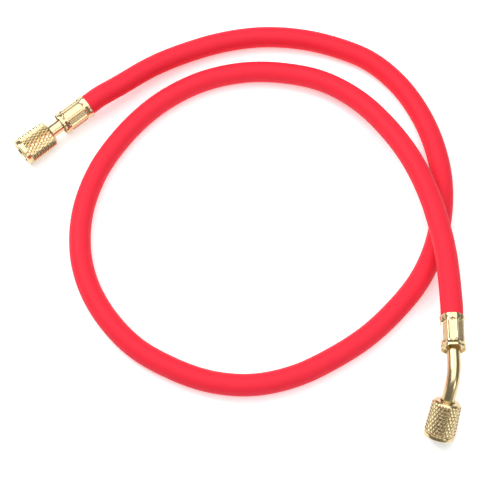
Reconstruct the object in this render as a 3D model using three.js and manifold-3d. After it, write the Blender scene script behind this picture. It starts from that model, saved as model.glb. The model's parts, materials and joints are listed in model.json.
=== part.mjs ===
// Refrigerant charging hose: a rubber hose laid in one and a half laps, with a crimped brass ferrule,
// a barbed stem and a free-turning flare nut on each end. One end is straight, the other bent by 45
// degrees. Millimetres, +Z up. The hose lies on z = 0, and the origin is under the middle of its fittings.
import * as THREE from 'three';
import { mergeVertices } from 'three/addons/utils/BufferGeometryUtils.js';
import Module from 'manifold-3d';

const wasm = await Module();
wasm.setup();

const clearance = 0.3; // between pieces that touch
const cutMargin = 1; // how far a cutter reaches past what it cuts

// hose
const hoseRadius = 5.75;
const hoseBoreRadius = 2.5;
const hoseSides = 12;
const hoseStep = 13; // length of one short run of the tube

// ferrule, measured along the fitting from its mouth, where the hose goes in
const ferruleLength = 17.6;
const ferruleRadius = 5.8;
const ferruleRimRadius = 6.5;
const ferruleRimLength = 1.2;
const ferruleRimSlope = 1.5; // length of the cone between rim and body
const ferruleGripRadius = 4.8; // inside radius once crimped
const ferruleEndWall = 1;
const ferruleRecessDepth = 1;
const ferruleRecessRadius = 5.7;
const crimpCount = 8;
const crimpFlatDistance = 5.35; // from the axis to each pressed flat

// stem
const stemBoreRadius = 1.2;
const tailStart = 2.5;
const tailRadius = 1.8;
const barbCount = 4;
const barbPitch = 3;
const barbLength = 2.4;
const neckRadius = 3.4;
const noseLength = 2.2;
const spigotRadius = 2.5;
const spigotLength = 1.6;

// neck, from the ferrule to the nut
const straightNeckLength = 7.2;
const elbowLead = 6.1;
const elbowBendRadius = 18;
const elbowBendAngle = Math.PI / 4;
const elbowRun = 6.5;

// nut, measured from its rear face
const nutLength = 19.2;
const nutWall = 3;
const nutBoreRadius = 4.95;
const nutMouthRadius = 5.7;
const nutMouthDepth = 0.8;
const nutRearRadius = 6;
const nutChamferLength = 1.5;
const knurlRearRadius = 7.4;
const knurlFrontRadius = 7.9;
const grooveRadius = 7.2;
const grooveWidth = 0.6;
const collarRadius = 7.6;
const collarLength = 2.2;
const collarBevel = 0.4;

// gasket and core depressor
const gasketThickness = 2;
const seatRadius = 1.9; // counterbore in the elbow's nose
const seatDepth = 2.4;
const depressorLength = 2;
const depressorBoreRadius = 1;
const depressorBarWidth = 0.7;
const pinRadius = 0.5;
const pinLength = 4.6;

// how each end lies: its mouth on the floor plan, the way its nut points, and its slope
const straightMouth = [-78.2, 90.5];
const straightHeading = THREE.MathUtils.degToRad(219);
const straightDip = THREE.MathUtils.degToRad(4);
const straightCrimpTurn = THREE.MathUtils.degToRad(-6.5); // the ferrule's flats, about its axis
const elbowMouth = [110.3, -37.4];
const elbowHeading = THREE.MathUtils.degToRad(-91.6);
const elbowDip = THREE.MathUtils.degToRad(-5);
const elbowCrimpTurn = THREE.MathUtils.degToRad(22.5);
const elbowRoll = THREE.MathUtils.degToRad(-15); // the bend's way, turned from straight down
const mouthRun = 8; // straight hose beside each mouth

// the hose's route between its ends
const routePoints = [
  [-61.6, 102.8, 10.8],
  [-43.5, 116.1, 9.2],
  [-25.4, 126.0, 7.2],
  [-5.0, 133.5, 6.1],
  [16.5, 136.9, 5.8],
  [38.7, 135.4, 5.8],
  [58.6, 129.9, 5.8],
  [76.0, 121.4, 5.8],
  [91.0, 106.8, 5.8],
  [101.7, 89.1, 5.8],
  [108.6, 69.8, 5.8],
  [111.8, 49.8, 5.8],
  [111.0, 30.3, 5.8],
  [106.3, 9.5, 5.8],
  [97.3, -9.7, 5.8],
  [84.5, -26.1, 5.8],
  [69.2, -40.8, 5.8],
  [51.1, -52.9, 5.8],
  [31.9, -62.2, 5.8],
  [10.8, -66.7, 5.8],
  [-10.2, -64.9, 5.8],
  [-29.9, -57.7, 5.8],
  [-48.9, -46.2, 5.8],
  [-65.0, -28.3, 5.8],
  [-74.6, -9.7, 5.8],
  [-78.8, 9.5, 5.8],
  [-78.0, 30.9, 5.8],
  [-71.6, 52.4, 5.8],
  [-62.8, 68.3, 5.8],
  [-49.9, 84.8, 5.8],
  [-35.0, 98.0, 5.8],
  [-15.3, 108.8, 5.8],
  [7.0, 114.1, 5.9],
  [29.0, 113.2, 6.6],
  [49.7, 106.8, 8.6],
  [68.2, 93.4, 11.6],
  [83.2, 75.0, 14.8],
  [94.6, 55.4, 17.0],
  [102.5, 35.1, 18.0],
  [107.1, 16.6, 18.5],
  [109.7, -2.5, 20.1],
];

const turnedSegments = 36;
const smallSegments = 20;
const neckSteps = 18;

// A round piece from its closed outline of [radius, height] points, turned about the z axis.
function turned(outline, segments) {
  const closed = [...outline, outline[0]].map(([radius, height]) => new THREE.Vector2(radius, height));
  return new THREE.LatheGeometry(closed, segments).rotateX(Math.PI / 2);
}

function roundPoints(radius, sides) {
  const points = [];
  for (let i = 0; i < sides; i += 1) {
    const angle = (i / sides) * 2 * Math.PI;
    points.push(new THREE.Vector2(radius * Math.cos(angle), radius * Math.sin(angle)));
  }
  return points;
}

function extrudeAlong(shape, path, steps) {
  return new THREE.ExtrudeGeometry(shape, { steps, bevelEnabled: false, extrudePath: path });
}

// A closed geometry as a solid that can be joined and cut.
function solid(geometry) {
  const bare = geometry.clone();
  bare.deleteAttribute('normal');
  bare.deleteAttribute('uv');
  const merged = mergeVertices(bare);
  return new wasm.Manifold(new wasm.Mesh({
    numProp: 3,
    vertProperties: new Float32Array(merged.attributes.position.array),
    triVerts: new Uint32Array(merged.index.array),
  }));
}

function geometryOf(manifold) {
  const mesh = manifold.getMesh();
  const geometry = new THREE.BufferGeometry();
  geometry.setAttribute('position', new THREE.BufferAttribute(mesh.vertProperties, 3));
  geometry.setIndex(new THREE.BufferAttribute(mesh.triVerts, 1));
  geometry.computeVertexNormals();
  return geometry;
}

function brass() {
  return new THREE.MeshStandardMaterial({ color: 0xe0c383, metalness: 1, roughness: 0.25 });
}

function rubber(color) {
  return new THREE.MeshStandardMaterial({ color, metalness: 0, roughness: 0.5 });
}

function named(name, geometry, material) {
  const mesh = new THREE.Mesh(geometry, material);
  mesh.name = name;
  return mesh;
}

// The middle line of a neck: straight, bent towards +x by an angle, and straight again.
class NeckPath extends THREE.Curve {
  constructor(start, lead, bendRadius, bendAngle, run) {
    super();
    Object.assign(this, { start, lead, bendRadius, bendAngle, run });
    this.length = lead + bendRadius * bendAngle + run;
  }

  getPoint(t, target = new THREE.Vector3()) {
    const along = t * this.length;
    const turn = THREE.MathUtils.clamp((along - this.lead) / this.bendRadius, 0, this.bendAngle);
    const after = Math.max(0, along - this.lead - this.bendRadius * this.bendAngle);
    return target.set(
      this.bendRadius * (1 - Math.cos(turn)) + after * Math.sin(turn),
      0,
      this.start + Math.min(along, this.lead) + this.bendRadius * Math.sin(turn) + after * Math.cos(turn),
    );
  }
}

// Places along the ferrule.
const endWallStart = ferruleLength - ferruleRecessDepth - ferruleEndWall;
const hoseEnd = endWallStart - clearance;
const rimEnd = ferruleRimLength + ferruleRimSlope;

function ferruleGeometry() {
  const outline = [
    [hoseRadius + clearance, 0],
    [ferruleRimRadius, 0],
    [ferruleRimRadius, ferruleRimLength],
    [ferruleRadius, rimEnd],
    [ferruleRadius, ferruleLength - rimEnd],
    [ferruleRimRadius, ferruleLength - ferruleRimLength],
    [ferruleRimRadius, ferruleLength],
    [ferruleRecessRadius, ferruleLength],
    [ferruleRecessRadius, ferruleLength - ferruleRecessDepth],
    [neckRadius + clearance, ferruleLength - ferruleRecessDepth],
    [neckRadius + clearance, endWallStart],
    [ferruleGripRadius, endWallStart],
    [ferruleGripRadius, rimEnd],
    [hoseRadius + clearance, ferruleRimLength],
  ];
  const flatDepth = ferruleRimRadius - crimpFlatDistance;
  const flatLength = ferruleLength - 2 * rimEnd;
  let sleeve = solid(turned(outline, 4 * crimpCount));
  for (let i = 0; i < crimpCount; i += 1) {
    const press = new THREE.BoxGeometry(flatDepth, ferruleRadius, flatLength);
    press.translate(crimpFlatDistance + flatDepth / 2, 0, ferruleLength / 2);
    press.rotateZ((i / crimpCount) * 2 * Math.PI);
    sleeve = sleeve.subtract(solid(press));
  }
  return geometryOf(sleeve);
}

// What a crimped ferrule squeezes away from the hose's end.
function squeezeCutter() {
  const neckedRadius = ferruleGripRadius - clearance;
  const outerRadius = hoseRadius + cutMargin;
  const slope = ferruleRimSlope / (hoseRadius - neckedRadius);
  return turned([
    [neckedRadius, rimEnd],
    [outerRadius, rimEnd - slope * (outerRadius - neckedRadius)],
    [outerRadius, ferruleLength],
    [neckedRadius, ferruleLength],
  ], turnedSegments);
}

// Barbed tail in the hose's bore, neck along its path, and the nose that the nut turns on.
function stemGeometry(path, noseFrame, seated) {
  const barbRadius = hoseBoreRadius * Math.cos(Math.PI / hoseSides) - clearance;
  const tail = [[0, endWallStart + neckRadius / 2], [0, tailStart]];
  for (let i = 0; i < barbCount; i += 1) {
    const barbStart = tailStart + i * barbPitch;
    tail.push([tailRadius, barbStart], [barbRadius, barbStart + barbLength]);
  }
  tail.push([tailRadius, tailStart + barbCount * barbPitch], [tailRadius, endWallStart + neckRadius / 2]);
  const noseStart = nutWall + clearance;
  const noseFront = noseStart + noseLength;
  const nose = turned([
    [0, noseStart],
    [nutBoreRadius - clearance, noseStart],
    [nutBoreRadius - clearance, noseFront],
    [spigotRadius, noseFront],
    [spigotRadius, noseFront + spigotLength],
    [0, noseFront + spigotLength],
  ], turnedSegments).applyMatrix4(noseFrame);
  const neck = extrudeAlong(new THREE.Shape(roundPoints(neckRadius, smallSegments)), path, neckSteps);
  const drill = new NeckPath(
    tailStart - cutMargin,
    path.lead + path.start - tailStart + cutMargin,
    path.bendRadius,
    path.bendAngle,
    path.run + noseLength + spigotLength + cutMargin,
  );
  const boreShape = new THREE.Shape(roundPoints(stemBoreRadius, smallSegments));
  const bore = extrudeAlong(boreShape, drill, 2 * neckSteps);
  let stem = solid(turned(tail, smallSegments)).add(solid(neck)).add(solid(nose)).subtract(solid(bore));
  if (seated) {
    const seat = new THREE.CylinderGeometry(seatRadius, seatRadius, seatDepth + cutMargin, smallSegments);
    seat.rotateX(Math.PI / 2).translate(0, 0, noseFront + spigotLength - (seatDepth - cutMargin) / 2);
    stem = stem.subtract(solid(seat.applyMatrix4(noseFrame)));
  }
  return geometryOf(stem);
}

function nutGeometry() {
  const knurlFront = nutLength - collarLength - grooveWidth;
  return turned([
    [neckRadius + clearance, 0],
    [nutRearRadius, 0],
    [knurlRearRadius, nutChamferLength],
    [knurlFrontRadius, knurlFront],
    [grooveRadius, knurlFront],
    [grooveRadius, nutLength - collarLength],
    [collarRadius, nutLength - collarLength],
    [collarRadius, nutLength - collarBevel],
    [collarRadius - collarBevel, nutLength],
    [nutMouthRadius, nutLength],
    [nutBoreRadius, nutLength - nutMouthDepth],
    [nutBoreRadius, nutWall],
    [neckRadius + clearance, nutWall],
  ], turnedSegments);
}

function gasketGeometry() {
  const back = nutWall + clearance + noseLength + clearance;
  return turned([
    [spigotRadius + clearance, back],
    [nutBoreRadius - clearance, back],
    [nutBoreRadius - clearance, back + gasketThickness],
    [spigotRadius + clearance, back + gasketThickness],
  ], turnedSegments);
}

// A ring in the nose's seat, with a bar across it that carries the pin.
function depressorGeometry() {
  const back = nutWall + clearance + noseLength + spigotLength - seatDepth + clearance;
  const ringRadius = seatRadius - clearance;
  const ring = turned([
    [depressorBoreRadius, back],
    [ringRadius, back],
    [ringRadius, back + depressorLength],
    [depressorBoreRadius, back + depressorLength],
  ], smallSegments);
  const barLength = ringRadius + depressorBoreRadius;
  const bar = new THREE.BoxGeometry(barLength, depressorBarWidth, depressorLength / 2);
  bar.translate(0, 0, back + depressorLength / 2);
  const pin = new THREE.CylinderGeometry(pinRadius, pinRadius, pinLength, smallSegments);
  pin.rotateX(Math.PI / 2).translate(0, 0, back + depressorLength / 4 + pinLength / 2);
  return geometryOf(solid(ring).add(solid(bar)).add(solid(pin)));
}

// One end of the hose, along +z from its mouth. Its nut and what is in the nut share the nut's frame.
function fitting(end, path, crimpTurn, seated) {
  const group = new THREE.Group();
  const nutGroup = new THREE.Group();
  const nutFrom = path.getPoint((path.length - nutWall - clearance - noseLength / 2) / path.length);
  nutGroup.position.copy(nutFrom);
  nutGroup.rotation.y = path.bendAngle;
  nutGroup.updateMatrix();
  nutGroup.add(named(`${end}_nut`, nutGeometry(), brass()));
  nutGroup.add(named(`${end}_gasket`, gasketGeometry(), rubber(0x1c1c1c)));
  if (seated) nutGroup.add(named('core_depressor', depressorGeometry(), brass()));
  group.add(named(`${end}_ferrule`, ferruleGeometry().rotateZ(crimpTurn), brass()));
  group.add(named(`${end}_stem`, stemGeometry(path, nutGroup.matrix, seated), brass()));
  group.add(nutGroup);
  return group;
}

// Turns a fitting to its heading, slope and roll, and lets its nut down on the floor.
function lay(group, [x, y], heading, dip, roll) {
  const along = new THREE.Vector3(
    Math.cos(heading) * Math.cos(dip),
    Math.sin(heading) * Math.cos(dip),
    -Math.sin(dip),
  );
  const down = new THREE.Vector3(0, 0, -1).projectOnPlane(along).normalize().applyAxisAngle(along, roll);
  const side = new THREE.Vector3().crossVectors(along, down);
  group.quaternion.setFromRotationMatrix(new THREE.Matrix4().makeBasis(down, side, along));
  group.position.set(x, y, 0);
  group.updateMatrixWorld(true);
  group.position.z = -new THREE.Box3().setFromObject(group, true).min.z;
  group.updateMatrixWorld(true);
  return group;
}

// The neck's run goes on through the nut's wall into the nose.
const intoNose = nutWall + clearance + noseLength / 2;
const neckStart = endWallStart;
const neckLead = ferruleLength - endWallStart;
const straightPath = new NeckPath(neckStart, neckLead + straightNeckLength + intoNose, 1, 0, 0);
const elbowPath = new NeckPath(
  neckStart,
  neckLead + elbowLead,
  elbowBendRadius,
  elbowBendAngle,
  elbowRun + intoNose,
);

const straightFitting = fitting('straight', straightPath, straightCrimpTurn, false);
const elbowFitting = fitting('elbow', elbowPath, elbowCrimpTurn, true);
const straightEnd = lay(straightFitting, straightMouth, straightHeading, straightDip, 0);
const elbowEnd = lay(elbowFitting, elbowMouth, elbowHeading, elbowDip, elbowRoll);

// The hose is straight inside and beside each ferrule, and follows its route between them.
function endPoints(group) {
  return [hoseEnd, 0, -mouthRun].map((z) => group.localToWorld(new THREE.Vector3(0, 0, z)));
}

function hoseGeometry() {
  const route = new THREE.CatmullRomCurve3([
    ...endPoints(straightEnd),
    ...routePoints.map((point) => new THREE.Vector3(...point)),
    ...endPoints(elbowEnd).reverse(),
  ], false, 'centripetal');
  route.arcLengthDivisions = 2000;
  const section = new THREE.Shape(roundPoints(hoseRadius, hoseSides));
  section.holes.push(new THREE.Path(roundPoints(hoseBoreRadius, hoseSides)));
  const tube = extrudeAlong(section, route, Math.round(route.getLength() / hoseStep));
  const straightCut = squeezeCutter().applyMatrix4(straightEnd.matrixWorld);
  const elbowCut = squeezeCutter().applyMatrix4(elbowEnd.matrixWorld);
  return geometryOf(solid(tube).subtract(solid(straightCut)).subtract(solid(elbowCut)));
}

const chargingHose = new THREE.Group();
const hose = named('hose', hoseGeometry(), rubber(0xf03a4a));
chargingHose.add(straightEnd, elbowEnd, hose);
const endsBox = new THREE.Box3().setFromObject(straightEnd, true);
endsBox.union(new THREE.Box3().setFromObject(elbowEnd, true));
const middle = endsBox.getCenter(new THREE.Vector3());
chargingHose.position.set(-middle.x, -middle.y, 0);

export default chargingHose;
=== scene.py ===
import bisect
import json
import math

import bpy
from mathutils import Matrix, Vector


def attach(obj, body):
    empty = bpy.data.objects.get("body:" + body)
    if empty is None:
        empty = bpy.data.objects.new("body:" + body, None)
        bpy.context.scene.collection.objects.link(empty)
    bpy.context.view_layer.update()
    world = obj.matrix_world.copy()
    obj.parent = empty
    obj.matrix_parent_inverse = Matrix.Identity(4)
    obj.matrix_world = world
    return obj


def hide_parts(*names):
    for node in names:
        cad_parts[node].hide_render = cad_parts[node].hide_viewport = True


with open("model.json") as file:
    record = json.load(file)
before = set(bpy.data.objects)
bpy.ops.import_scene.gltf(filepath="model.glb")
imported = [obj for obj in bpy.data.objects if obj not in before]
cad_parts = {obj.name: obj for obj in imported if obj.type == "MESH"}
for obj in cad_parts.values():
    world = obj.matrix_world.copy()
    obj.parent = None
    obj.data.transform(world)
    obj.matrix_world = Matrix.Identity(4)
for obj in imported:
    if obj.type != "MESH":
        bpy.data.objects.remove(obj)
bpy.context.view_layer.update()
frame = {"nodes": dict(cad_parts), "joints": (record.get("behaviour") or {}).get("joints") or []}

mm = 0.001
fullTurn = 2 * math.pi
pictureWidth = 500  # in pixels

cameraSettings = {
    "target": (9.85 * mm, 11.12 * mm, 0),
    "elevation": 66,  # degrees above the floor
    "distance": 0.7667,
    "focalPixels": 1460,  # focal length, in pixels of the picture
    "sensor": 36,
}


def addCamera(settings):
    tilt = math.radians(settings["elevation"])
    data = bpy.data.cameras.new("camera")
    data.sensor_width = settings["sensor"]
    data.lens = settings["sensor"] * settings["focalPixels"] / pictureWidth
    camera = bpy.data.objects.new("camera", data)
    back = Vector((0, -math.cos(tilt), math.sin(tilt)))
    camera.location = Vector(settings["target"]) + back * settings["distance"]
    camera.rotation_euler = (math.pi / 2 - tilt, 0, 0)
    bpy.context.scene.collection.objects.link(camera)
    bpy.context.scene.camera = camera


addCamera(cameraSettings)
print("camera is set")

# sizes shared by the pieces, all along a fitting from its mouth, in millimetres
hoseSize = {"diameter": 11.5, "radius": 5.68, "bore": 2.5}  # the radius is just inside the CAD's
ferruleSize = {
    "length": 17.6,
    "rimRadius": 6.5,
    "rimLength": 1.2,
    "rimSlope": 1.5,
    "gripRadius": 4.8,
    "endWall": 1,
    "recessDepth": 1,
    "recessRadius": 5.7,
    "flatDistance": 5.35,
    "flats": 8,
}
neckSize = {"radius": 3.4, "bore": 1.2, "clearance": 0.3}
nutSize = {"length": 19.2, "wall": 3, "bore": 4.95, "mouth": 5.7}
noseSize = {"length": 2.2, "spigotRadius": 2.5, "spigotLength": 1.6}
wallInside = ferruleSize["length"] - ferruleSize["recessDepth"] - ferruleSize["endWall"]

endSettings = {
    "straight": {
        "heading": 219, "dip": 4, "crimpTurn": -6.5,
        "lead": 7.2, "bendRadius": 1, "bend": 0, "run": 0,
    },
    "elbow": {
        "heading": -91.6, "dip": -5, "crimpTurn": 22.5,
        "lead": 6.1, "bendRadius": 18, "bend": 45, "run": 6.5,
    },
}


class Fitting:
    # where one end of the hose lies. place(along) is the frame so far from its ferrule's mouth, in mm
    def __init__(self, name, settings):
        joint = next(j for j in frame["joints"] if j["name"] == name + "_nut_spin")
        heading, dip = math.radians(settings["heading"]), math.radians(settings["dip"])
        level = Vector((math.cos(heading), math.sin(heading), 0))
        self.axis = level * math.cos(dip) - Vector((0, 0, math.sin(dip)))
        self.lead = ferruleSize["length"] + settings["lead"]
        self.bendRadius = settings["bendRadius"]
        self.bend = math.radians(settings["bend"])
        self.crimpTurn = math.radians(settings["crimpTurn"])
        self.nutStart = self.lead + self.bendRadius * self.bend + settings["run"]
        nutAxis = Vector(joint["axis"]).normalized()
        if self.bend:
            self.side = (nutAxis - self.axis * math.cos(self.bend)).normalized()
        else:
            self.side = (Vector((0, 0, -1)) + self.axis * self.axis.z).normalized()
        self.mouth = Vector((0, 0, 0))
        self.mouth = Vector(joint["pos_m"]) - self.place(self.nutStart).translation

    def place(self, along):
        turn = min(max((along - self.lead) / self.bendRadius, 0), self.bend)
        after = max(0, along - self.lead - self.bendRadius * self.bend)
        sideways = self.bendRadius * (1 - math.cos(turn)) + after * math.sin(turn)
        forward = min(along, self.lead) + self.bendRadius * math.sin(turn) + after * math.cos(turn)
        onward = self.axis * math.cos(turn) + self.side * math.sin(turn)
        across = onward.cross(self.axis.cross(self.side)) * -1
        frameHere = Matrix((across, onward.cross(across), onward)).transposed().to_4x4()
        frameHere.translation = self.mouth + (self.axis * forward + self.side * sideways) * mm
        return frameHere

    def point(self, along):
        return self.place(along).translation


fittings = {name: Fitting(name, settings) for name, settings in endSettings.items()}

# the hose's route between its ends, in metres, where the CAD has it
routePoints = [
    (-0.06157, 0.10415, 0.0108), (-0.04347, 0.11745, 0.0092), (-0.02537, 0.12735, 0.0072),
    (-0.00497, 0.13485, 0.0061), (0.01653, 0.13825, 0.0058), (0.03873, 0.13675, 0.0058),
    (0.05863, 0.13125, 0.0058), (0.07603, 0.12275, 0.0058), (0.09103, 0.10815, 0.0058),
    (0.10173, 0.09045, 0.0058), (0.10863, 0.07115, 0.0058), (0.11183, 0.05115, 0.0058),
    (0.11103, 0.03165, 0.0058), (0.10633, 0.01085, 0.0058), (0.09733, -0.00835, 0.0058),
    (0.08453, -0.02475, 0.0058), (0.06923, -0.03945, 0.0058), (0.05113, -0.05155, 0.0058),
    (0.03193, -0.06085, 0.0058), (0.01083, -0.06535, 0.0058), (-0.01017, -0.06355, 0.0058),
    (-0.02987, -0.05635, 0.0058), (-0.04887, -0.04485, 0.0058), (-0.06497, -0.02695, 0.0058),
    (-0.07457, -0.00835, 0.0058), (-0.07877, 0.01085, 0.0058), (-0.07797, 0.03225, 0.0058),
    (-0.07157, 0.05375, 0.0058), (-0.06277, 0.06965, 0.0058), (-0.04987, 0.08615, 0.0058),
    (-0.03497, 0.09935, 0.0058), (-0.01527, 0.11015, 0.0058), (0.00703, 0.11545, 0.0059),
    (0.02903, 0.11455, 0.0066), (0.04973, 0.10815, 0.0086), (0.06823, 0.09475, 0.0116),
    (0.08323, 0.07635, 0.0148), (0.09463, 0.05675, 0.0170), (0.10253, 0.03645, 0.0180),
    (0.10713, 0.01795, 0.0185), (0.10973, -0.00115, 0.0201),
]
mouthRun = -8  # the hose is straight from here to each mouth, in millimetres


def between(a, b, low, high, t):
    return (a * (high - t) + b * (t - low)) / (high - low)


def smoothLine(points, perSpan):
    # a centripetal curve through the points
    line = []
    for i in range(len(points) - 1):
        before = points[i - 1] if i else points[0] * 2 - points[1]
        after = points[i + 2] if i + 2 < len(points) else points[-1] * 2 - points[-2]
        corners = [before, points[i], points[i + 1], after]
        knots = [0]
        for first, second in zip(corners, corners[1:]):
            knots.append(knots[-1] + math.sqrt((second - first).length))
        for step in range(perSpan):
            t = between(knots[1], knots[2], 0, perSpan, step)
            legs = [between(corners[k], corners[k + 1], knots[k], knots[k + 1], t) for k in range(3)]
            pair = [between(legs[k], legs[k + 1], knots[k], knots[k + 2], t) for k in range(2)]
            line.append(between(pair[0], pair[1], knots[1], knots[2], t))
    return line + [points[-1]]


def travelFrames(line):
    # a frame at each point of a line, carried along without twist
    frames = []
    across = (line[1] - line[0]).orthogonal().normalized()
    for i, point in enumerate(line):
        onward = (line[min(i + 1, len(line) - 1)] - line[max(i - 1, 0)]).normalized()
        across = (across - onward * across.dot(onward)).normalized()
        here = Matrix((across, onward.cross(across), onward)).transposed().to_4x4()
        here.translation = point
        frames.append(here)
    return frames


def softened(corners, steps=3):
    # rows of (radius, along) from corners of (radius, along, rounding), each corner rounded off
    rows = []
    for i, (radius, along, rounding) in enumerate(corners):
        here = Vector((radius, along))
        if not rounding:
            rows.append(here)
            continue
        back = (Vector(corners[i - 1][:2]) - here).normalized() * rounding
        forth = (Vector(corners[(i + 1) % len(corners)][:2]) - here).normalized() * rounding
        for step in range(steps + 1):
            t = step / steps
            rows.append(here + back * (1 - t) ** 2 + forth * t ** 2)
    return rows


def filled(rows, longest, low, high):
    # adds rows between low and high so that none lie further apart than longest
    dense = []
    for i, row in enumerate(rows):
        dense.append(row)
        after = rows[(i + 1) % len(rows)]
        if min(row.y, after.y) < low - 0.01 or max(row.y, after.y) > high + 0.01:
            continue
        count = math.ceil((after - row).length / longest)
        dense.extend(row.lerp(after, k / count) for k in range(1, count))
    return dense


def turnedPiece(name, rows, sides, place, shape=None):
    # a closed piece from its outline's rows, turned about the line that place follows
    points, lengths = [], [0]
    for i, (radius, along) in enumerate(rows):
        here = place(along)
        for j in range(sides):
            turn = fullTurn * j / sides
            r = (shape(radius, along, turn) if shape else radius) * mm
            points.append(here @ Vector((r * math.cos(turn), r * math.sin(turn), 0)))
        after = rows[(i + 1) % len(rows)]
        lengths.append(lengths[-1] + math.dist(after, (radius, along)) * mm)
    faces, wraps = [], []
    for i in range(len(rows)):
        nextRow = (i + 1) % len(rows)
        for j in range(sides):
            k = (j + 1) % sides
            faces.append((i * sides + j, i * sides + k, nextRow * sides + k, nextRow * sides + j))
            for u, v in ((j, i), (j + 1, i), (j + 1, i + 1), (j, i + 1)):
                wraps += [u / sides, lengths[v]]
    mesh = bpy.data.meshes.new(name)
    mesh.from_pydata(points, [], faces)
    mesh.uv_layers.new(name="wrap").data.foreach_set("uv", wraps)
    mesh.shade_smooth()
    mesh.set_sharp_from_angle(angle=math.radians(32))
    piece = bpy.data.objects.new(name, mesh)
    bpy.context.scene.collection.objects.link(piece)
    return piece


class Value:
    # an output socket that can stand in Python maths
    def __init__(self, finish, socket):
        self.finish, self.socket = finish, socket

    def maths(self, operation, first, second):
        return self.finish.node("ShaderNodeMath", {"operation": operation}, {0: first, 1: second})

    def __add__(self, other):
        return self.maths("ADD", self, other)

    def __sub__(self, other):
        return self.maths("SUBTRACT", self, other)

    def __rsub__(self, other):
        return self.maths("SUBTRACT", other, self)

    def __mul__(self, other):
        return self.maths("MULTIPLY", self, other)

    __radd__, __rmul__ = __add__, __mul__


class Finish:
    # one material. node adds a node, sets it up, then fills its sockets with numbers or links
    def __init__(self, name, constants):
        self.material = bpy.data.materials.new(name)
        self.material.use_nodes = True
        self.tree = self.material.node_tree
        self.shader = self.tree.nodes["Principled BSDF"]
        self.fill(self.shader, constants)

    def fill(self, node, sockets):
        for key, value in sockets.items():
            if isinstance(value, Value):
                self.tree.links.new(value.socket, node.inputs[key])
            else:
                node.inputs[key].default_value = value

    def node(self, kind, settings, sockets, output=0):
        made = self.tree.nodes.new(kind)
        for key, value in settings.items():
            setattr(made, key, value)
        self.fill(made, sockets)
        return Value(self, made.outputs[output])

    def stretched(self, around, along):
        # the wrap coordinates, so many times round the piece and so many times each metre
        wrap = self.node("ShaderNodeUVMap", {"uv_map": "wrap"}, {})
        scale = {"operation": "MULTIPLY"}
        return self.node("ShaderNodeVectorMath", scale, {0: wrap, 1: (around, along, 1)})

    def noise(self, scale, detail=3, vector=None):
        place = vector or self.node("ShaderNodeTexCoord", {}, {}, "Object")
        return self.node("ShaderNodeTexNoise", {}, {"Vector": place, "Scale": scale, "Detail": detail})

    def blend(self, factor, first, second):
        # a mix of two colours
        sockets = {"Factor": factor, 6: first, 7: second}
        return self.node("ShaderNodeMix", {"data_type": "RGBA"}, sockets, 2)

    def bump(self, height, distance, strength, normal=None):
        sockets = {"Height": height, "Distance": distance, "Strength": strength}
        if normal:
            sockets["Normal"] = normal
        return self.node("ShaderNodeBump", {}, sockets)


def dress(piece, finish, body, slot, *nodes):
    piece.data.materials.clear()
    piece.data.materials.append(finish.material)
    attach(piece, body)
    if nodes:
        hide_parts(*nodes)
    return piece


rubberLook = {
    "colour": (0.86, 0.028, 0.054, 1),
    "deepColour": (0.77, 0.02, 0.04, 1),
    "shine": 0.14,
    "roughness": 0.55,
    "grain": 0.00004,  # height of the skin's fine grain, in metres
    "grainScale": 900,
    "streakHeight": 0.00012,
    "streaks": (9, 6),  # round the hose, and each metre
    "driftScale": 14,
}


def hoseFinish(look):
    finish = Finish("hose_rubber", {"Specular IOR Level": look["shine"]})
    drift = finish.noise(look["driftScale"], 4)
    streaks = finish.noise(1, 3, finish.stretched(*look["streaks"]))
    skin = finish.noise(look["grainScale"], 2)
    tone = drift * 0.7 + streaks * 0.3
    grain = finish.bump(skin, look["grain"], 0.4)
    finish.fill(finish.shader, {
        "Base Color": finish.blend(tone, look["deepColour"], look["colour"]),
        "Roughness": look["roughness"] + (streaks - 0.5) * 0.12 + (skin - 0.5) * 0.1,
        "Normal": finish.bump(streaks, look["streakHeight"], 0.35, grain),
    })
    return finish


brassLook = {
    "bright": (0.76, 0.62, 0.37, 1),
    "deep": (0.62, 0.48, 0.26, 1),
    "roughness": 0.24,
    "cloudScale": 160,
    "rings": (0.6, 5200),  # the lathe's fine rings, round a piece and each metre
}


def brassFinish(name, look, turning):
    # turning is the height of the lathe's rings, in metres
    finish = Finish(name, {"Metallic": 1})
    cloud = finish.noise(look["cloudScale"], 4)
    rings = finish.noise(1, 2, finish.stretched(*look["rings"]))
    finish.fill(finish.shader, {
        "Base Color": finish.blend(cloud * 0.8 + rings * 0.2, look["deep"], look["bright"]),
        "Roughness": look["roughness"] + (cloud - 0.5) * 0.16 + (rings - 0.5) * 0.08,
        "Normal": finish.bump(rings, turning, 0.3),
    })
    return finish


sealLook = {
    "colour": (0.03, 0.03, 0.031, 1),
    "deepColour": (0.012, 0.012, 0.013, 1),
    "shine": 0.3,
    "roughness": 0.55,
    "grain": 0.00003,
    "grainScale": 1400,
}


def gasketFinish(look):
    finish = Finish("gasket_rubber", {"Specular IOR Level": look["shine"]})
    grain = finish.noise(look["grainScale"], 3)
    finish.fill(finish.shader, {
        "Base Color": finish.blend(grain, look["deepColour"], look["colour"]),
        "Roughness": grain * 0.2 + look["roughness"],
        "Normal": finish.bump(grain, look["grain"], 0.5),
    })
    return finish


nutBrass = brassFinish("nut_brass", brassLook, 0.00001)
ferruleBrass = brassFinish("ferrule_brass", brassLook, 0.000005)
stemBrass = brassFinish("stem_brass", brassLook, 0.00001)
print("finishes are ready")

hosePiece = {"sides": 40, "perSpan": 8, "step": 2.7, "endStep": 0.5, "fineLength": 25, "rounding": 0.4}


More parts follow.
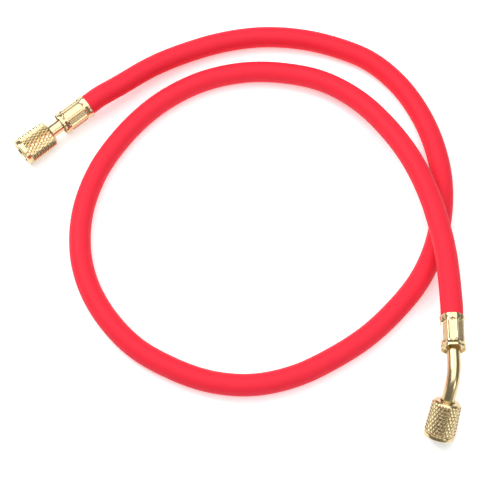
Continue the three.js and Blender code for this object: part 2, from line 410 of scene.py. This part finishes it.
def alongLine(line):
    # place(along) is the frame so far along a line, in mm from its start. Also gives the line's length
    frames, stations = travelFrames(line), [0]
    for first, second in zip(line, line[1:]):
        stations.append(stations[-1] + (second - first).length / mm)

    def place(along):
        i = min(max(bisect.bisect_right(stations, along) - 1, 0), len(line) - 2)
        return frames[i].lerp(frames[i + 1], (along - stations[i]) / (stations[i + 1] - stations[i]))

    return place, stations[-1]


def addHose(settings):
    hidden = wallInside - neckSize["clearance"]  # how far the hose goes into each ferrule
    ends = {name: [end.point(s) for s in (hidden, 0, mouthRun)] for name, end in fittings.items()}
    route = ends["straight"] + [Vector(point) for point in routePoints] + ends["elbow"][::-1]
    place, length = alongLine(smoothLine(route, settings["perSpan"]))
    necked = ferruleSize["gripRadius"] - neckSize["clearance"]
    fine, inset = settings["fineLength"], settings["rounding"]
    near = [inset + settings["endStep"] * k for k in range(int(fine / settings["endStep"]))]
    count = math.ceil((length - 2 * fine) / settings["step"])
    middle = [fine + (length - 2 * fine) * k / count for k in range(count + 1)]
    stations = near + middle + [length - along for along in reversed(near)]

    def skin(along):
        # narrower where a ferrule grips it
        fromMouth = hidden - min(along, length - along)
        squeeze = (fromMouth - ferruleSize["rimLength"]) / ferruleSize["rimSlope"]
        return hoseSize["radius"] + (necked - hoseSize["radius"]) * min(max(squeeze, 0), 1)

    bore = hoseSize["bore"]
    outline = [(bore + inset, 0), (necked - inset, 0)]
    outline += [(skin(along), along) for along in stations]
    outline += [(necked - inset, length), (bore + inset, length)]
    outline += [(bore, along) for along in reversed(stations)]
    hose = turnedPiece("hose_skin", [Vector(row) for row in outline], settings["sides"], place)
    dress(hose, hoseFinish(rubberLook), "root", "hose_rubber", "hose")
    return hose, [place(along).translation for along in stations], length * mm


hose, hoseLine, hoseLength = addHose(hosePiece)
print("hose is laid,", round(hoseLength, 4), "m")

ferrulePiece = {
    "sides": 192,
    "step": 0.25,  # between rows
    "ridgeTop": 0.3,  # half the width of the ridge between two flats
    "ridgeRadius": 6.05,
    "ridgeFall": 1.4,
    "spread": 1.5,  # how fast a ridge widens into the rim
    "scallop": 0.3,  # how far the rim is drawn in over a flat
    "rounding": 0.15,
}


def addFerrule(name, settings):
    end, size = fittings[name], ferruleSize
    rimEnd = size["rimLength"] + size["rimSlope"]
    length, wall = size["length"], size["length"] - size["recessDepth"]
    mouthBore = hoseSize["diameter"] / 2 + neckSize["clearance"]
    neckBore = neckSize["radius"] + neckSize["clearance"]
    soft, ridge = settings["rounding"], settings["ridgeRadius"]
    outline = softened([
        (mouthBore, 0, 0.15), (size["rimRadius"], 0, soft),
        (size["rimRadius"], size["rimLength"], soft), (ridge, rimEnd, soft),
        (ridge, length - rimEnd, soft), (size["rimRadius"], length - size["rimLength"], soft),
        (size["rimRadius"], length, soft), (size["recessRadius"], length, 0.15),
        (size["recessRadius"], wall, 0.1), (neckBore, wall, 0.1),
        (neckBore, wallInside, 0), (size["gripRadius"], wallInside, 0),
        (size["gripRadius"], rimEnd, 0), (mouthBore, size["rimLength"], 0),
    ])
    rows = filled(outline, settings["step"], 0, length)

    def pressed(radius, along, turn):
        if radius < ridge - soft:
            return radius
        sector = fullTurn / size["flats"]
        turned = turn - end.crimpTurn + sector / 2
        off = abs(turned % sector - sector / 2)  # from a flat's middle
        intoRim = max(0, rimEnd + 1 - min(along, length - along))
        top = settings["ridgeTop"] + settings["spread"] * intoRim
        slope = max(0, (sector / 2 - off) * radius - top) * settings["ridgeFall"]
        drawnIn = settings["scallop"] * (0.5 + 0.5 * math.cos(off * size["flats"])) * min(1, intoRim)
        return min(radius, max(size["flatDistance"] / math.cos(off), radius - slope)) - drawnIn

    piece = turnedPiece(name + "_crimped_ferrule", rows, settings["sides"], end.place, pressed)
    return dress(piece, ferruleBrass, "root", "ferrule_brass", name + "_ferrule")


ferrules = {name: addFerrule(name, ferrulePiece) for name in fittings}
print("ferrules are crimped")

stemPiece = {
    "sides": 64,
    "step": 0.7,
    "tailStart": 2.5,
    "tailRadius": 1.8,
    "barbRadius": 2.1,
    "barbs": 4,
    "barbPitch": 3,
    "barbLength": 2.4,
    "seatRadius": 1.9,
    "seatDepth": 2.4,
}


def addStem(name, settings, seated):
    end, size = fittings[name], settings
    tail = []
    for k in range(size["barbs"]):
        start = size["tailStart"] + k * size["barbPitch"]
        tail.append((size["tailRadius"], start, 0.05))
        tail.append((size["barbRadius"], start + size["barbLength"], 0.05))
    noseBack = end.nutStart + nutSize["wall"] + neckSize["clearance"]
    noseFront = noseBack + noseSize["length"]
    tip = noseFront + noseSize["spigotLength"]
    noseRadius = nutSize["bore"] - neckSize["clearance"]
    outline = [(neckSize["bore"], size["tailStart"], 0)] + tail + [
        (size["tailRadius"], wallInside, 0), (neckSize["radius"], wallInside, 0),
        (neckSize["radius"], noseBack, 0), (noseRadius, noseBack, 0.15),
        (noseRadius, noseFront, 0.3), (noseSize["spigotRadius"], noseFront, 0),
        (noseSize["spigotRadius"], tip, 0.2),
    ]
    if seated:
        shoulder = tip - size["seatDepth"]
        outline += [(size["seatRadius"], tip, 0.1), (size["seatRadius"], shoulder, 0)]
        outline += [(neckSize["bore"], shoulder, 0)]
    else:
        outline += [(neckSize["bore"], tip, 0.2)]
    rows = filled(softened(outline), size["step"], size["tailStart"], tip)
    piece = turnedPiece(name + "_neck", rows, size["sides"], end.place)
    return dress(piece, stemBrass, "root", "stem_brass", name + "_stem")


stems = {name: addStem(name, stemPiece, name == "elbow") for name in fittings}
print("necks are turned")

nutPiece = {
    "sides": 260,
    "step": 0.12,  # between rows of the knurl
    "threadStep": 0.16,
    "rear": 6,
    "knurlRear": 7.4,
    "knurlFront": 7.88,
    "knurlStart": 1.5,
    "knurlEnd": 16.4,
    "groove": 7.2,
    "grooveEnd": 17,
    "collar": 7.58,
    "bevel": 0.4,
    "mouthDepth": 0.8,
    "diamonds": 26,  # round the nut
    "diamondLength": 3.5,
    "diamondDepth": 0.65,
    "flatTop": 0.88,  # the part of a diamond's height that is left
    "threadPitch": 1.27,  # 20 turns an inch
    "threadDepth": 0.6,
    "threadStart": 8.4,
    "threadFlank": 1.1,  # over 1 leaves a flat at the thread's root
}


def zigzag(x):
    # 0 at whole numbers, 1 half way between them
    return 1 - abs(2 * (x % 1) - 1)


def addNut(name, settings):
    end, size = fittings[name], settings
    length, neckBore = nutSize["length"], neckSize["radius"] + neckSize["clearance"]
    mouthBack = length - size["mouthDepth"]
    outline = softened([
        (neckBore, 0, 0.2), (size["rear"], 0, 0.3), (size["knurlRear"], size["knurlStart"], 0.2),
        (size["knurlFront"], size["knurlEnd"], 0.1), (size["groove"], size["knurlEnd"], 0),
        (size["groove"], size["grooveEnd"], 0), (size["collar"], size["grooveEnd"], 0.15),
        (size["collar"], length - size["bevel"], 0.15), (size["collar"] - size["bevel"], length, 0.15),
        (nutSize["mouth"], length, 0.15), (nutSize["bore"], mouthBack, 0),
    ])
    rows = filled(outline, size["step"], 0, size["knurlEnd"])
    thread = [Vector((nutSize["bore"], mouthBack)), Vector((nutSize["bore"], size["threadStart"]))]
    rows += filled(thread, size["threadStep"], size["threadStart"], mouthBack)[1:-1]
    rows += [thread[1], Vector((nutSize["bore"], nutSize["wall"]))]
    rows.append(Vector((neckBore, nutSize["wall"])))

    def cut(radius, along, turn):
        around = turn / fullTurn
        if radius > size["rear"] - 0.4 and along < size["knurlEnd"] + 0.01:
            run = (along - size["knurlStart"]) / (size["knurlEnd"] - size["knurlStart"])
            full = size["knurlRear"] + (size["knurlFront"] - size["knurlRear"]) * run
            across, down = around * size["diamonds"], along / size["diamondLength"]
            lift = min(1, min(zigzag(across + down), zigzag(across - down)) / size["flatTop"])
            return min(radius, full - size["diamondDepth"] * (1 - lift))
        if radius < nutSize["bore"] + 0.1 and along > size["threadStart"]:
            fade = min(1, (along - size["threadStart"]) / size["threadPitch"])
            flank = min(1, zigzag(along / size["threadPitch"] - around) * size["threadFlank"])
            return radius + size["threadDepth"] * fade * flank
        return radius

    def fromRear(along):
        return end.place(end.nutStart + along)

    piece = turnedPiece(name + "_knurled_nut", rows, size["sides"], fromRear, cut)
    return dress(piece, nutBrass, name + "_nut", "nut_brass", name + "_nut")


nuts = {name: addNut(name, nutPiece) for name in fittings}
print("nuts are knurled")

gasketPiece = {"sides": 96, "thickness": 2, "rounding": 0.45}
gasketRubber = gasketFinish(sealLook)


def addGasket(name, settings):
    end, gap = fittings[name], neckSize["clearance"]
    back = end.nutStart + nutSize["wall"] + gap + noseSize["length"] + gap
    inner, outer = noseSize["spigotRadius"] + gap, nutSize["bore"] - gap
    front, soft = back + settings["thickness"], settings["rounding"]
    outline = [(inner, back, soft), (outer, back, soft), (outer, front, soft), (inner, front, soft)]
    piece = turnedPiece(name + "_seal", softened(outline, 5), settings["sides"], end.place)
    return dress(piece, gasketRubber, "root", "gasket_rubber", name + "_gasket")


gaskets = {name: addGasket(name, gasketPiece) for name in fittings}
depressor = frame["nodes"]["core_depressor"]
depressor.data.materials.clear()
depressor.data.materials.append(stemBrass.material)
print("gaskets are in")

fittings["straight"].point(0)

floorLook = {
    "colour": (0.9, 0.9, 0.9, 1),
    "deepColour": (0.86, 0.86, 0.86, 1),
    "glow": 0.35,
    "roughness": 0.9,
    "shine": 0.1,
    "drift": 0.8,
    "half": 3,  # half its width, in metres
}


def addFloor(look):
    half = look["half"]
    mesh = bpy.data.meshes.new("floor")
    corners = [(-half, -half, 0), (half, -half, 0), (half, half, 0), (-half, half, 0)]
    mesh.from_pydata(corners, [], [(0, 1, 2, 3)])
    floor = bpy.data.objects.new("floor", mesh)
    finish = Finish("floor", {
        "Roughness": look["roughness"],
        "Specular IOR Level": look["shine"],
        "Emission Color": (1, 1, 1, 1),
        "Emission Strength": look["glow"],
    })
    shade = finish.noise(look["drift"])
    finish.fill(finish.shader, {"Base Color": finish.blend(shade, look["deepColour"], look["colour"])})
    mesh.materials.append(finish.material)
    bpy.context.scene.collection.objects.link(floor)


addFloor(floorLook)

studioLights = {
    "key": {"at": (-0.8, 0.5, 1.0), "size": 0.5, "power": 8},
    "fill": {"at": (0.9, -0.9, 0.7), "size": 0.5, "power": 2},
    "top": {"at": (0.0, 0.1, 1.2), "size": 1.7, "power": 18},
}
ambientLight = 0.2


def addLights(lights, ambient):
    for name, light in lights.items():
        data = bpy.data.lights.new(name, "AREA")
        data.size, data.energy = light["size"], light["power"]
        lamp = bpy.data.objects.new(name, data)
        lamp.location = light["at"]
        lamp.rotation_euler = (-Vector(light["at"])).to_track_quat("-Z", "Y").to_euler()
        bpy.context.scene.collection.objects.link(lamp)
    world = bpy.data.worlds.new("studio")
    world.use_nodes = True
    world.node_tree.nodes["Background"].inputs["Strength"].default_value = ambient
    world.node_tree.nodes["Background"].inputs["Color"].default_value = (1, 1, 1, 1)
    bpy.context.scene.world = world


addLights(studioLights, ambientLight)
bpy.context.scene.view_settings.view_transform = "Standard"
print("stage is lit")
